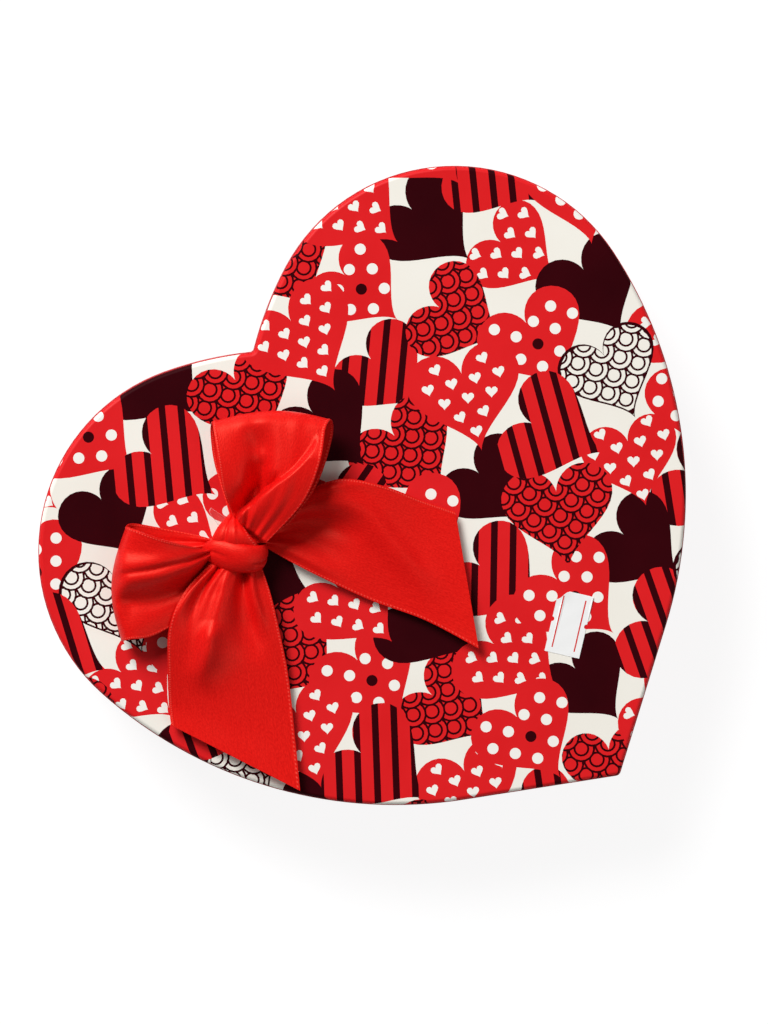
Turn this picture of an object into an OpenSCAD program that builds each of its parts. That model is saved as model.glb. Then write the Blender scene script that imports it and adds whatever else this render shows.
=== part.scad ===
// Heart-shaped gift box of paper-covered board: a tray, a lid that telescopes over it,
// a satin ribbon bow on the lid and a small price sticker.
// The box lies on its floor with the cleft towards +Y, the tip towards -Y and the lid on top.

/* [Heart outline, outside of the lid] */
// Radius of the two lobes
lobe_r = 59.5; // [54:0.5:66]
// Distance between the centres of the two lobes
lobe_spacing = 93; // [84:1:104]
// Radius of the slow arc that runs from each lobe into the cleft
cleft_arc_r = 115; // [95:1:150]
// Radius of the slow arc down each side
side_arc_r = 138; // [110:1:180]
// Angle short of straight up at which a lobe passes into the cleft arc
cleft_blend_angle = 21; // [12:1:30]
// Angle below level at which a lobe passes into the side arc
side_blend_angle = 7.5; // [2:0.5:15]
// Half the angle between the two straight edges at the tip
tip_half_angle = 58; // [50:1:64]
// Rounding in the cleft
cleft_r = 1.2; // [0.6:0.1:3]

/* [Box heights] */
// Height of the tray
base_height = 37; // [28:1:60]
// Height of the lid's rim below the underside of its top
lid_depth = 22; // [15:1:26]

/* [Boards and papers] */
// Thickness of the two heart-cut boards
plate_t = 1.6; // [1:0.1:2.5]
// Thickness of the bent strips of board
strip_t = 1.2; // [0.8:0.1:1.8]
// Thickness of the covering papers
cover_t = 0.25; // [0.2:0.05:0.4]
// Thickness of the lining papers
liner_t = 0.2; // [0.15:0.05:0.4]
// Thickness of the paper stays at the tip
tape_t = 0.15; // [0.1:0.05:0.15]
// Running gap all round between the lid's inside and the tray's outside
lid_gap = 0.6; // [0.4:0.1:1.2]
// Rounding of the lid's upper edge
lid_edge_r = 1.3; // [0.9:0.1:1.8]
// Width of printed paper left showing on the rim, below the rounded edge
face_show = 0.4; // [0.2:0.1:1]
// Width of the covering papers where they lap under another paper or turn inside
turn_in = 11; // [8:1:13]
// Width of each leg of the paper stays at the tip
tape_leg = 14; // [8:1:20]
// Gap between the two ends of each strip of board at the tip
strip_end_gap = 0.4; // [0.2:0.1:0.8]
// Inset of the paper under the floor from the tray's edge
bottom_inset = 2; // [1:0.5:5]

/* [Bow] */
// Width of the ribbon
ribbon_w = 38; // [32:1:42]
// Thickness of the ribbon
ribbon_t = 0.4; // [0.3:0.05:0.5]
// Place of the knot on the lid, to the left of the middle
bow_left = 43.3; // [35:0.5:50]
// Place of the knot on the lid, towards the cleft from the middle
bow_up = 36.9; // [28:0.5:42]
// Turn of the whole bow, clockwise
bow_turn = 41; // [30:1:50]
// Length of the upper loop
loop_upper_len = 40; // [35:0.5:43]
// Length of the left loop
loop_left_len = 39; // [34:0.5:42]
// Length of the right tail, to the middle of its cut end
tail_right_len = 74; // [66:1:82]
// Length of the lower tail, to the middle of its cut end
tail_lower_len = 68; // [58:1:72]
// Height of the loops above the lid
loop_rise = 15; // [12:0.5:18]
// Height of the tails' folds above the lid
tail_rise = 5; // [4:0.25:6]
// Height of the knot, from the adhesive dot up
knot_h = 11; // [9:0.5:13]
// Diameter of the clear adhesive dot
dot_d = 13; // [10:0.5:15]
// Thickness of the adhesive dot
dot_t = 0.8; // [0.5:0.1:1.2]
// Width of the dot's clear tab
tab_w = 4.6; // [3:0.1:6]
// Reach of the tab from the middle of the dot
tab_reach = 13.4; // [12:0.1:15]

/* [Price sticker] */
// Length of the sticker
sticker_len = 19.8; // [16:0.1:26]
// Width of the sticker
sticker_w = 11.1; // [9:0.1:16]
// Thickness of the sticker
sticker_t = 0.12; // [0.1:0.01:0.2]
// Place of the sticker, to the right of the middle
sticker_right = 19; // [10:1:30]
// Place of the sticker, towards the tip from the middle
sticker_down = 50; // [40:1:60]
// Direction of the sticker's long side, from +X
sticker_turn = 36; // [0:1:90]

/* [Hidden] */
$fn = 180;

red = [0.86, 0.13, 0.15];
ribbon_red = [0.80, 0.07, 0.08];
cream = [0.95, 0.93, 0.88];
board_grey = [0.72, 0.69, 0.64];
clear_film = [0.9, 0.9, 0.9, 0.5];

// Longer than anything here; half spaces are cut with it
reach = 4 * side_arc_r;

// Depths are measured inwards from the outside of the lid's rim.
rim_board_at = 2 * cover_t;
rim_inner_at = rim_board_at + strip_t;
rim_inside_at = rim_inner_at + cover_t;
base_at = rim_inside_at + lid_gap;
wall_board_at = base_at + cover_t;
wall_inner_at = wall_board_at + strip_t;
wall_liner_at = wall_inner_at + cover_t;
cavity_at = wall_liner_at + liner_t;

// Heights, from the surface that the box stands on
flange_z = cover_t;
floor_z = flange_z + cover_t;
floor_top_z = floor_z + plate_t;
floor_liner_top_z = floor_top_z + liner_t;
wall_top_z = base_height - cover_t;
lid_board_z = base_height + liner_t;
lid_board_top_z = lid_board_z + plate_t;
lid_top_z = lid_board_top_z + cover_t;
rim_bottom_z = lid_board_z - lid_depth;
band_top_z = lid_top_z - lid_edge_r - face_show;
flange_end_z = band_top_z - turn_in;

// The tip is rounded just enough for the lid's rounded edge to turn round it.
tip_r = lid_edge_r + rim_board_at;

// Unit vector at an angle clockwise from +Y
function toward(a) = [sin(a), cos(a)];

// Centres and directions of the arcs of the right half, with the lobes' centres on y = 0
cleft_dir = toward(-cleft_blend_angle);
side_dir = toward(90 + side_blend_angle);
tip_dir = toward(90 + tip_half_angle);
lobe_raw = [lobe_spacing / 2, 0];
cleft_raw = lobe_raw - (cleft_arc_r - lobe_r) * cleft_dir;
side_raw = lobe_raw - (side_arc_r - lobe_r) * side_dir;
notch_rise = sqrt(pow(cleft_arc_r + cleft_r, 2) - pow(cleft_raw.x, 2));
notch_raw = [0, cleft_raw.y + notch_rise];
notch_angle = atan2(cleft_raw.x, notch_rise);
tip_raw = [0, ((side_raw + side_arc_r * tip_dir) * tip_dir - tip_r) / tip_dir.y];

// The outline is moved along Y so that its box is centred on the origin.
middle = [0, -(lobe_r + tip_raw.y - tip_r) / 2];
lobe_c = lobe_raw + middle;
cleft_c = cleft_raw + middle;
side_c = side_raw + middle;
notch_c = notch_raw + middle;
tip_c = tip_raw + middle;

// Length of a step along an arc of the outline
arc_step = lobe_r / 16;
function arc_points(centre, r, from, to, full_r) =
    let (n = max(3, ceil(abs(to - from) * PI / 180 * full_r / arc_step)))
    [for (i = [0:n]) centre + r * toward(from + (to - from) * i / n)];
function tail(list) = [for (i = [1:len(list) - 1]) list[i]];

// The right half of the outline moved inwards by d, from the cleft round to the tip
function half_outline(d) = concat(
    arc_points(notch_c, cleft_r + d, 180, 180 - notch_angle, cleft_r),
    arc_points(cleft_c, cleft_arc_r - d, -notch_angle, -cleft_blend_angle, cleft_arc_r),
    tail(arc_points(lobe_c, lobe_r - d, -cleft_blend_angle, 90 + side_blend_angle, lobe_r)),
    tail(arc_points(side_c, side_arc_r - d, 90 + side_blend_angle, 90 + tip_half_angle, side_arc_r)),
    tip_r > d
        ? arc_points(tip_c, tip_r - d, 90 + tip_half_angle, 180, tip_r)
        : [tip_c + [0, (tip_r - d) / tip_dir.y]]);

// The whole outline, each half's ends lying on the middle line
function outline(d) =
    let (right = half_outline(d), n = len(right))
    concat(right, [for (i = [n - 2:-1:1]) [-right[i].x, right[i].y]]);

module heart_plate(d, z, t) {
    translate([0, 0, z]) linear_extrude(t) polygon(outline(d));
}

// A wall that follows the outline, between two depths and two heights
module heart_wall(from_d, to_d, from_z, to_z) {
    translate([0, 0, from_z]) linear_extrude(to_z - from_z) difference() {
        polygon(outline(from_d));
        polygon(outline(to_d));
    }
}

// A closed skin through outlines stacked along a path of [depth, height] steps, capped at both ends
module heart_loft(path) {
    rings = [for (step = path) [for (p = outline(step[0])) [p.x, p.y, step[1]]]];
    n = len(rings[0]);
    last = len(path) - 1;
    faces = concat(
        [[for (i = [0:n - 1]) i]],
        [[for (i = [n - 1:-1:0]) last * n + i]],
        [for (k = [0:last - 1]) for (i = [0:n - 1])
            let (low = k * n, high = low + n, j = (i + 1) % n) each
            quad(low + i, high + i, high + j, low + j)]);
    polyhedron([for (ring = rings) each ring], faces);
}

// The steps of a path round an outer corner, from its foot up to its top
corner_steps = 4;
function round_corner(depth, top_z, r) =
    [for (i = [0:corner_steps]) let (a = 90 * i / corner_steps)
        [depth + r * (1 - cos(a)), top_z - r * (1 - sin(a))]];
function reversed(list) = [for (i = [len(list) - 1:-1:0]) list[i]];

// Tray

module base_floor_board() {
    color(board_grey) heart_plate(wall_board_at, floor_z, plate_t);
}

// The gap where the two ends of a strip of board meet at the tip
module strip_ends(inner_d) {
    translate([-strip_end_gap / 2, -reach, -reach])
        cube([strip_end_gap, reach + tip_c.y + (tip_r - inner_d) / tip_dir.y + strip_t, 2 * reach]);
}

module base_wall_board() {
    color(board_grey) difference() {
        heart_wall(wall_board_at, wall_inner_at, floor_top_z, wall_top_z);
        strip_ends(wall_inner_at);
    }
}

// A paper stay folded into the tip, against the inside of a strip of board
module corner_tape(depth, from_z, to_z) {
    stay_y = tip_c.y + (tip_r - depth) / tip_dir.y + tape_leg * cos(tip_half_angle);
    intersection() {
        heart_wall(depth, depth + tape_t, from_z, to_z);
        translate([-reach, stay_y - reach, 0]) cube([2 * reach, reach, reach]);
    }
}

module base_corner_tape() {
    color(cream) corner_tape(wall_inner_at, floor_liner_top_z, base_height - turn_in);
}

module base_wall_paper() {
    color(red) {
        heart_wall(base_at, base_at + turn_in, flange_z, floor_z);
        heart_wall(base_at, wall_board_at, floor_z, wall_top_z);
        heart_wall(base_at, wall_liner_at, wall_top_z, base_height);
        heart_wall(wall_inner_at, wall_liner_at, base_height - turn_in, wall_top_z);
    }
}

module base_bottom_paper() {
    color(red) heart_plate(base_at + bottom_inset, 0, cover_t);
}

module base_wall_liner() {
    color(cream) heart_wall(wall_liner_at, cavity_at, floor_liner_top_z, base_height - turn_in / 2);
}

module base_floor_liner() {
    color(cream) heart_plate(wall_inner_at, floor_top_z, liner_t);
}

// Lid

module lid_top_board() {
    corner = round_corner(rim_board_at, lid_board_top_z, lid_edge_r - cover_t);
    color(board_grey) heart_loft(concat([[rim_board_at, lid_board_z]], corner));
}

module lid_rim_board() {
    color(board_grey) difference() {
        heart_wall(rim_board_at, rim_inner_at, rim_bottom_z + cover_t, lid_board_z);
        strip_ends(rim_inner_at);
    }
}

module lid_corner_tape() {
    color(cream) corner_tape(rim_inner_at, rim_bottom_z + turn_in, base_height);
}

module lid_face_paper() {
    inside = round_corner(rim_board_at, lid_board_top_z, lid_edge_r - cover_t);
    outside = round_corner(cover_t, lid_top_z, lid_edge_r);
    color(cream) heart_loft(concat(
        reversed(inside), [[rim_board_at, flange_end_z]], [[cover_t, flange_end_z]], outside));
}

module lid_rim_paper() {
    color(red) {
        heart_wall(0, cover_t, flange_end_z - cover_t, band_top_z);
        heart_wall(cover_t, rim_board_at, rim_bottom_z, flange_end_z);
        heart_wall(rim_board_at, rim_inside_at, rim_bottom_z, rim_bottom_z + cover_t);
        heart_wall(rim_inner_at, rim_inside_at, rim_bottom_z + cover_t, rim_bottom_z + turn_in);
    }
}

module lid_top_liner() {
    color(cream) heart_plate(rim_inner_at, base_height, liner_t);
}

// Bow. Its own frame has the knot at the origin, x to the right, y up and z off the lid.

module on_lid() {
    translate([-bow_left, bow_up, lid_top_z]) rotate([0, 0, -bow_turn]) children();
}

// Smooth curve through the rows of a table, u from 0 to 1
function row(table, i) = table[max(0, min(len(table) - 1, i))];
function blend(a, b, c, d, t) = (2 * b + (c - a) * t + (2 * a - 5 * b + 4 * c - d) * t * t
    + (3 * b - a - 3 * c + d) * t * t * t) / 2;
function along(table, u) =
    let (x = u * (len(table) - 1), i = min(floor(x), len(table) - 2))
    blend(row(table, i - 1), row(table, i), row(table, i + 1), row(table, i + 2), x - i);

// Each row of a ribbon's table holds, as shares of its length, width and rise, the place of its
// left edge and of its right edge, how far its middle bows out, and the depth of its pleats.
pleats = 1.5;
function edge(r, i, sizes) = [r[i] * sizes[0], r[i + 1] * sizes[1], r[i + 2] * sizes[2]];
function pleat(v) = sin(180 * v) * cos(360 * pleats * v + 180);
function ribbon_point(table, sizes, u, v) =
    let (r = along(table, u), a = edge(r, 0, sizes), b = edge(r, 3, sizes))
    a + (b - a) * v + [r[6] * sizes[0] * sin(180 * v), 0, r[7] * sizes[2] * pleat(v)];
function ribbon_grid(table, sizes, nu, nv) =
    [for (i = [0:nu]) [for (j = [0:nv]) ribbon_point(table, sizes, i / nu, j / nv)]];
function unit(v) = v / norm(v);
function grid_normal(g, i, j) =
    let (nu = len(g) - 1, nv = len(g[0]) - 1)
    unit(cross(g[min(i + 1, nu)][j] - g[max(i - 1, 0)][j], g[i][min(j + 1, nv)] - g[i][max(j - 1, 0)]));

// The two triangles of a face with corners a, b, c and d
function quad(a, b, c, d) = [[a, b, c], [a, c, d]];

// A closed strip of even thickness about a grid of points
module strip_of(g, t) {
    nu = len(g);
    nv = len(g[0]);
    points = [for (side = [1, -1]) for (i = [0:nu - 1]) for (j = [0:nv - 1])
        g[i][j] + side * t / 2 * grid_normal(g, i, j)];
    function at(side, i, j) = (side * nu + i) * nv + j;
    faces = [
        for (i = [0:nu - 2]) for (j = [0:nv - 2]) each concat(
            quad(at(0, i, j), at(0, i, j + 1), at(0, i + 1, j + 1), at(0, i + 1, j)),
            quad(at(1, i, j), at(1, i + 1, j), at(1, i + 1, j + 1), at(1, i, j + 1))),
        for (i = [0:nu - 2]) each concat(
            quad(at(0, i, 0), at(0, i + 1, 0), at(1, i + 1, 0), at(1, i, 0)),
            quad(at(0, i + 1, nv - 1), at(0, i, nv - 1), at(1, i, nv - 1), at(1, i + 1, nv - 1))),
        for (j = [0:nv - 2]) each concat(
            quad(at(0, 0, j + 1), at(0, 0, j), at(1, 0, j), at(1, 0, j + 1)),
            quad(at(0, nu - 1, j), at(0, nu - 1, j + 1), at(1, nu - 1, j + 1), at(1, nu - 1, j)))];
    polyhedron(points, faces);
}

// Back ply from the knot, over the crest and back to the knot along the front ply
upper_loop_shares = [
    [0.12, 0.05, 0.34, 0.08, -0.14, 0.36, 0.00, 0.04],
    [0.32, 0.18, 0.24, 0.24, -0.36, 0.36, 0.00, 0.05],
    [0.58, 0.34, 0.10, 0.60, -0.52, 0.28, 0.00, 0.04],
    [0.80, 0.43, 0.14, 0.98, -0.55, 0.22, 0.03, 0.02],
    [0.88, 0.44, 0.42, 1.12, -0.51, 0.50, 0.08, 0.00],
    [0.84, 0.42, 0.74, 1.06, -0.47, 0.86, 0.05, 0.04],
    [0.62, 0.32, 0.90, 0.80, -0.49, 1.00, 0.00, 0.18],
    [0.40, 0.22, 0.78, 0.46, -0.44, 0.88, 0.00, 0.28],
    [0.22, 0.08, 0.56, 0.07, -0.17, 0.60, 0.00, 0.14]];
left_loop_shares = [
    [0.17, 0.10, 0.14, 0.19, -0.06, 0.26, 0.00, 0.03],
    [0.38, 0.34, 0.05, 0.38, -0.12, 0.12, 0.00, 0.03],
    [0.62, 0.56, 0.04, 0.64, -0.19, 0.08, 0.00, 0.03],
    [0.86, 0.66, 0.06, 0.80, -0.23, 0.18, 0.04, 0.02],
    [0.96, 0.72, 0.24, 0.86, -0.22, 0.46, 0.10, 0.00],
    [0.90, 0.71, 0.42, 0.82, -0.20, 0.80, 0.07, 0.04],
    [0.70, 0.67, 0.34, 0.60, -0.10, 0.88, 0.02, 0.14],
    [0.44, 0.42, 0.20, 0.40, -0.03, 0.72, 0.00, 0.16],
    [0.20, 0.12, 0.26, 0.24, 0.02, 0.50, 0.00, 0.06]];
// From the knot to the cut end
right_tail_shares = [
    [0.10, 0.16, 0.45, 0.12, 0.02, 0.45, 0.00, 0.15],
    [0.22, 0.46, 0.50, 0.24, -0.07, 0.65, 0.00, 0.35],
    [0.38, 0.66, 0.65, 0.40, -0.17, 0.55, 0.00, 0.35],
    [0.56, 0.67, 0.80, 0.60, -0.28, 0.35, 0.00, 0.15],
    [0.74, 0.60, 0.45, 0.84, -0.37, 0.45, 0.00, 0.05],
    [0.89, 0.55, 0.50, 1.08, -0.53, 0.65, 0.00, 0.00]];
lower_tail_shares = [
    [0.09, 0.20, 0.90, 0.06, -0.16, 1.00, 0.00, 0.15],
    [0.22, 0.28, 0.90, 0.21, -0.42, 1.25, 0.00, 0.35],
    [0.38, 0.35, 0.75, 0.38, -0.55, 1.20, 0.00, 0.35],
    [0.60, 0.43, 0.50, 0.57, -0.56, 0.80, 0.00, 0.20],
    [0.90, 0.49, 0.45, 0.73, -0.55, 0.50, 0.00, 0.06],
    [1.13, 0.53, 0.70, 0.83, -0.53, 0.60, 0.00, 0.00]];

// Directions in which the ribbons leave the knot, anticlockwise from the right
upper_loop_dir = 76;
left_loop_dir = 184;
right_tail_dir = -9;
lower_tail_dir = -90;

// Steps of the faces along and across a ribbon
loop_rings = 40;
tail_rings = 26;
across_steps = 14;

// A ribbon that leaves the knot in the given direction, lifted clear of the lid
module ribbon(table, length, rise, direction, rings) {
    color(ribbon_red) on_lid() translate([0, 0, ribbon_t]) rotate([0, 0, direction])
        strip_of(ribbon_grid(table, [length, ribbon_w, rise], rings, across_steps), ribbon_t);
}

module bow_loop_upper() {
    ribbon(upper_loop_shares, loop_upper_len, loop_rise, upper_loop_dir, loop_rings);
}

module bow_loop_left() {
    ribbon(left_loop_shares, loop_left_len, loop_rise, left_loop_dir, loop_rings);
}

module bow_tail_right() {
    ribbon(right_tail_shares, tail_right_len, tail_rise, right_tail_dir, tail_rings);
}

module bow_tail_lower() {
    ribbon(lower_tail_shares, tail_lower_len, tail_rise, lower_tail_dir, tail_rings);
}

// The knot from above, as a radius in ribbon widths every 30 degrees from the right, and its
// side as a radius and a height from the foot to the crown
knot_outline_shares = [0.262, 0.205, 0.225, 0.232, 0.232, 0.245, 0.265, 0.245, 0.222, 0.245, 0.258,
                       0.270, 0.262];
knot_side_shares = [[0.62, 0.00], [0.88, 0.12], [0.99, 0.30], [1.00, 0.48], [0.95, 0.66], [0.85, 0.80],
                    [0.72, 0.89], [0.58, 0.94], [0.42, 0.97], [0.24, 0.99]];
knot_sides = 40;

// The front wrap's upper edge runs across the knot, and the wrap behind it dips down under that
// edge and rises again. The dip is deepest on the right and is gone at the left end.
crease_share = 0.26;
crease_w_share = 0.12;
function crease_dip(p) =
    let (behind = (p.y + 0.08 * p.x) / (crease_w_share * ribbon_w),
         right = min(1, max(0, p.x / (crease_w_share * ribbon_w) + 1) / 2))
    behind < 0 ? 0 : crease_share * right * max(0, 1 - behind);
function knot_point(side, j) =
    let (a = 360 * j / knot_sides, r = ribbon_w * along(knot_outline_shares, j / knot_sides) * side[0],
         dip = crease_dip([r * cos(a), r * sin(a)]) * side[1])
    [r * cos(a), r * sin(a), dot_t + knot_h * side[1] * (1 - dip)];

module bow_knot() {
    n = knot_sides;
    last = len(knot_side_shares) - 1;
    rings = [for (side = knot_side_shares) for (j = [0:n - 1]) knot_point(side, j)];
    crown = [0, 0, dot_t + knot_h * (1 - crease_dip([0, 0]))];
    faces = concat(
        [[for (j = [0:n - 1]) j]],
        [for (k = [0:last - 1]) for (j = [0:n - 1])
            let (low = k * n, high = low + n, i = (j + 1) % n) each
            quad(low + j, high + j, high + i, low + i)],
        [for (j = [0:n - 1]) [last * n + j, len(rings), last * n + (j + 1) % n]]);
    color(ribbon_red) on_lid() polyhedron(concat(rings, [crown]), faces);
}

// Direction of the tab that shows beside the knot
tab_dir = 128;

module bow_adhesive_dot() {
    color(clear_film) on_lid() {
        cylinder(d = dot_d, h = dot_t);
        rotate([0, 0, tab_dir]) {
            translate([0, -tab_w / 2, 0]) cube([tab_reach - tab_w / 2, tab_w, dot_t / 2]);
            translate([tab_reach - tab_w / 2, 0, 0]) cylinder(d = tab_w, h = dot_t / 2);
        }
    }
}

// Half outlines of the sticker, as shares of its length and width; each side has a nick half way
sticker_shares = [[-0.5, -0.5], [-0.03, -0.5], [0, -0.44], [0.03, -0.5], [0.5, -0.5], [0.5, 0.28],
                  [0.42, 0.34], [0.40, 0.5], [0.03, 0.5], [0, 0.44], [-0.03, 0.5], [-0.5, 0.5]];

module price_sticker() {
    color(cream) translate([sticker_right, -sticker_down, lid_top_z]) rotate([0, 0, sticker_turn])
        linear_extrude(sticker_t)
            polygon([for (p = sticker_shares) [p.x * sticker_len, p.y * sticker_w]]);
}

base_floor_board();
base_wall_board();
base_corner_tape();
base_wall_paper();
base_bottom_paper();
base_wall_liner();
base_floor_liner();
lid_top_board();
lid_rim_board();
lid_corner_tape();
lid_face_paper();
lid_rim_paper();
lid_top_liner();
bow_loop_upper();
bow_loop_left();
bow_tail_right();
bow_tail_lower();
bow_knot();
bow_adhesive_dot();
price_sticker();
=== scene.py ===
import math
import random

import bpy
import numpy as np
from mathutils import Matrix, Vector
from mathutils.geometry import delaunay_2d_cdt


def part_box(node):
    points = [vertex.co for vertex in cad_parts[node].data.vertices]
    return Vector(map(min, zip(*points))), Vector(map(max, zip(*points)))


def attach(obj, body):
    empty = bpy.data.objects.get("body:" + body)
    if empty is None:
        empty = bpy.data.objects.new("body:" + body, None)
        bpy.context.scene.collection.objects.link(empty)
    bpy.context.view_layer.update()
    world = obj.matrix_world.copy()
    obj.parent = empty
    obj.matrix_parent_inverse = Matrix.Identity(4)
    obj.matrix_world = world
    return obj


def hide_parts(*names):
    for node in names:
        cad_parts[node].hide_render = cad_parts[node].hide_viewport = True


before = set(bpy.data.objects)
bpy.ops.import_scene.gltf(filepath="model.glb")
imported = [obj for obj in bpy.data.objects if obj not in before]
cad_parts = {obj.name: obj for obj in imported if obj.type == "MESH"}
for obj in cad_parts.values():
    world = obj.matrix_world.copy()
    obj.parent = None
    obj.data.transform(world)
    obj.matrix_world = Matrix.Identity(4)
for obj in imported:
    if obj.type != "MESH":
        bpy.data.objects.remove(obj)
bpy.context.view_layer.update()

# Lengths are in millimetres, which MM turns into metres, and angles in degrees.
MM = 0.001

# Heart outline of the lid
LOBE_R = 59.5
LOBE_SPACING = 93.0
CLEFT_ARC_R = 115.0
SIDE_ARC_R = 138.0
CLEFT_BLEND = 21.0
SIDE_BLEND = 7.5
TIP_HALF_ANGLE = 58.0
CLEFT_R = 1.2
# Longest step along an arc, and greatest turn between two of its points
OUTLINE_STEP = 1.0
TURN_STEP = 9.0

# Papers and the lid's rounded edge
COVER_T = 0.25
EDGE_R = 1.3
TIP_R = EDGE_R + 2 * COVER_T
LID_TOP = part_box("lid_face_paper")[1].z / MM
FLANGE_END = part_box("lid_face_paper")[0].z / MM
ROUND_STEPS = 6
ROUND_LENGTH = EDGE_R * math.pi / 2
# How far the print shows below the rounded edge, and how far it runs on behind the band
FACE_SHOW = 0.4
HIDDEN_EDGE = 0.15

# Ribbon, with the beads and stitches along its selvedges
RIBBON_W = 38.0
RIBBON_T = 0.4
BEAD_PITCH = 1.0
BEAD_H = 0.16
STITCH_IN = 0.62
STITCH_W = 0.22

# Place and turn of the bow on the lid, and the rise of its loops and of its tails
BOW_LEFT = 43.3
BOW_UP = 36.9
BOW_TURN = 41.0
LOOP_RISE = 15.0
TAIL_RISE = 5.0
DOT_T = 0.8

# Camera: where it looks, its distance and how far it sees in metres, its lean over the cleft, its roll
LOOK_AT = Vector((-1.84, 14.27, LID_TOP)) * MM
CAMERA_AWAY = 3.0
CAMERA_LEAN = 2.6
CAMERA_ROLL = 40.84
CAMERA_SEES = 50.0
VIEW_HEIGHT = 319.5 * MM
SENSOR = 36.0

# Past any length on the box, the least divisor, the slack at an arc's ends, and how near points are one
FAR = 1e9
LEAST = 1e-9
ANGLE_SLACK = 1e-6
SAME_POINT = 1e-5


# Geometry

def toward(angle):
    """Unit vector at an angle clockwise from +Y."""
    a = math.radians(angle)
    return np.array([math.sin(a), math.cos(a)])


def axes(angle):
    """Unit vectors ahead and to the left, for a direction anticlockwise from +X."""
    a = math.radians(angle)
    return np.array([math.cos(a), math.sin(a)]), np.array([-math.sin(a), math.cos(a)])


def rotated(points, angle):
    """Flat or solid points turned anticlockwise about Z."""
    ahead, aside = axes(angle)
    made = points.copy()
    made[..., :2] = points[..., :1] * ahead + points[..., 1:2] * aside
    return made


def heart_arcs():
    """The arcs of the right half, as centre, radius, first angle, last angle and side."""
    lobe = np.array([LOBE_SPACING / 2, 0.0])
    cleft = lobe - (CLEFT_ARC_R - LOBE_R) * toward(-CLEFT_BLEND)
    side = lobe - (SIDE_ARC_R - LOBE_R) * toward(90 + SIDE_BLEND)
    notch_rise = math.sqrt((CLEFT_ARC_R + CLEFT_R) ** 2 - cleft[0] ** 2)
    notch_angle = math.degrees(math.atan2(cleft[0], notch_rise))
    tip_dir = toward(90 + TIP_HALF_ANGLE)
    tip_y = ((side + SIDE_ARC_R * tip_dir) @ tip_dir - TIP_R) / tip_dir[1]
    middle = np.array([0.0, -(LOBE_R + tip_y - TIP_R) / 2])
    return [
        (np.array([0.0, cleft[1] + notch_rise]) + middle, CLEFT_R, 180, 180 - notch_angle, -1),
        (cleft + middle, CLEFT_ARC_R, -notch_angle, -CLEFT_BLEND, 1),
        (lobe + middle, LOBE_R, -CLEFT_BLEND, 90 + SIDE_BLEND, 1),
        (side + middle, SIDE_ARC_R, 90 + SIDE_BLEND, 90 + TIP_HALF_ANGLE, 1),
        (np.array([0.0, tip_y]) + middle, TIP_R, 90 + TIP_HALF_ANGLE, 180, 1),
    ]


ARCS = heart_arcs()


def outline(depth):
    """The closed outline moved inwards by depth, clockwise from the cleft."""
    right = []
    for centre, radius, start, end, side in ARCS:
        r = radius - side * depth
        steps = max(3, math.ceil(math.radians(abs(end - start)) * radius / OUTLINE_STEP),
                    math.ceil(abs(end - start) / TURN_STEP))
        angles = np.linspace(start, end, steps + 1)[1 if right else 0:]
        right += [centre + r * toward(a) for a in angles]
    left = [np.array([-p[0], p[1]]) for p in right[-2:0:-1]]
    return np.array(right + left)


def depth_and_outward(points):
    """How far inside the outline each point near it lies, and the way out: each arc speaks for its
    own sector, and the straight stretch beside the tip for the points in front of it."""
    best = np.full(len(points), FAR)
    outward = np.zeros((len(points), 2))
    mirrored = np.stack([np.abs(points[:, 0]), points[:, 1]], axis=1)
    for centre, radius, start, end, side in ARCS:
        away = mirrored - centre
        distance = np.maximum(np.linalg.norm(away, axis=1), LEAST)
        angle = np.degrees(np.arctan2(away[:, 0], away[:, 1]))
        low, high = min(start, end) - ANGLE_SLACK, max(start, end) + ANGLE_SLACK
        angle = np.where(angle < low, angle + 360, angle)
        depth = side * (radius - distance)
        take = (angle <= high) & (np.abs(depth) < np.abs(best))
        best = np.where(take, depth, best)
        outward[take] = side * away[take] / distance[take, None]
    side_arc, tip_arc = ARCS[-2], ARCS[-1]
    way = toward(side_arc[3])
    start = side_arc[0] + side_arc[1] * way
    run = tip_arc[0] + tip_arc[1] * way - start
    share = (mirrored - start) @ run / (run @ run)
    depth = (start - mirrored) @ way
    take = (share >= 0) & (share <= 1) & (np.abs(depth) < np.abs(best))
    best = np.where(take, depth, best)
    outward[take] = way
    outward[:, 0] *= np.where(points[:, 0] < 0, -1, 1)
    return best, outward


def tube_faces(rings, count):
    """Four-sided faces between rings of count points each."""
    faces = []
    for k in range(rings - 1):
        for i in range(count):
            a, b = k * count + i, k * count + (i + 1) % count
            faces.append([a, b, b + count, a + count])
    return faces


def open_sides(triangles):
    """The sides that only one triangle has, as pairs of points."""
    sides = {}
    for triangle in triangles:
        for i in range(3):
            a, b = triangle[i], triangle[(i + 1) % 3]
            if (b, a) in sides:
                del sides[(b, a)]
            else:
                sides[(a, b)] = True
    return list(sides)


def add_object(name, data):
    """A new object in the scene."""
    obj = bpy.data.objects.new(name, data)
    bpy.context.scene.collection.objects.link(obj)
    return obj


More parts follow.
